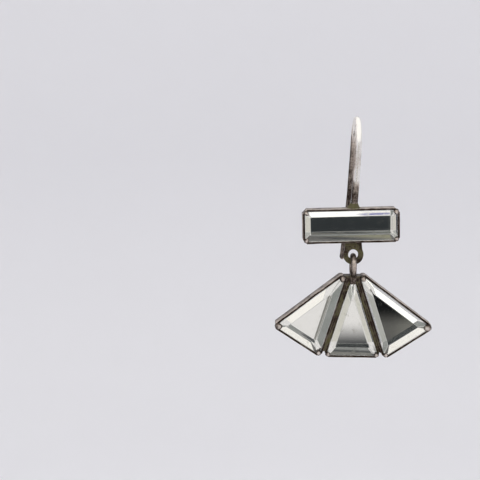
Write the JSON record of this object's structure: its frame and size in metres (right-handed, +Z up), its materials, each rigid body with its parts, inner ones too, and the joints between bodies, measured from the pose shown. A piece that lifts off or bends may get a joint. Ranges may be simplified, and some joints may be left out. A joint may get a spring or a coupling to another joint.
{
  "type": "fan drop earring",
  "caption": "Drop earring: a bar-shaped setting on an open ear wire, with a fan of wedge-shaped bevelled crystals swinging from a loop below it.",
  "frame": {"origin": "the underside of the ear wire's arch, at its highest point, where it hangs on the ear", "axes": "+Z up along the hanging line, -Y towards the viewer (the side that shows the stones), +X to the viewer's right"},
  "size_m": [0.0239, 0.0122, 0.0366],
  "materials": {
    "oxidised_silver": "sheet and wire silver, soldered, oxidised brown-black and worn bright on raised edges",
    "crystal": "clear, cut and polished",
    "foil": "bright mirror foil, slightly aged"
  },
  "bodies": {
    "ear_wire": {"hook_and_bar_setting": "oxidised_silver", "bar_stone": "crystal", "bar_foil": "foil"},
    "fan": {"fan_setting": "oxidised_silver", "fan_stone_left": "crystal", "fan_stone_middle": "crystal", "fan_stone_right": "crystal", "fan_foil_left": "foil", "fan_foil_middle": "foil", "fan_foil_right": "foil"}
  },
  "joints": [
    {"name": "drop_swing", "type": "hinge", "parent": "ear_wire", "child": "fan", "pos_m": [-0.00072, -0.0044, -0.02095], "axis": [1, 0, 0], "range_deg": [-90, 68]}
  ]
}
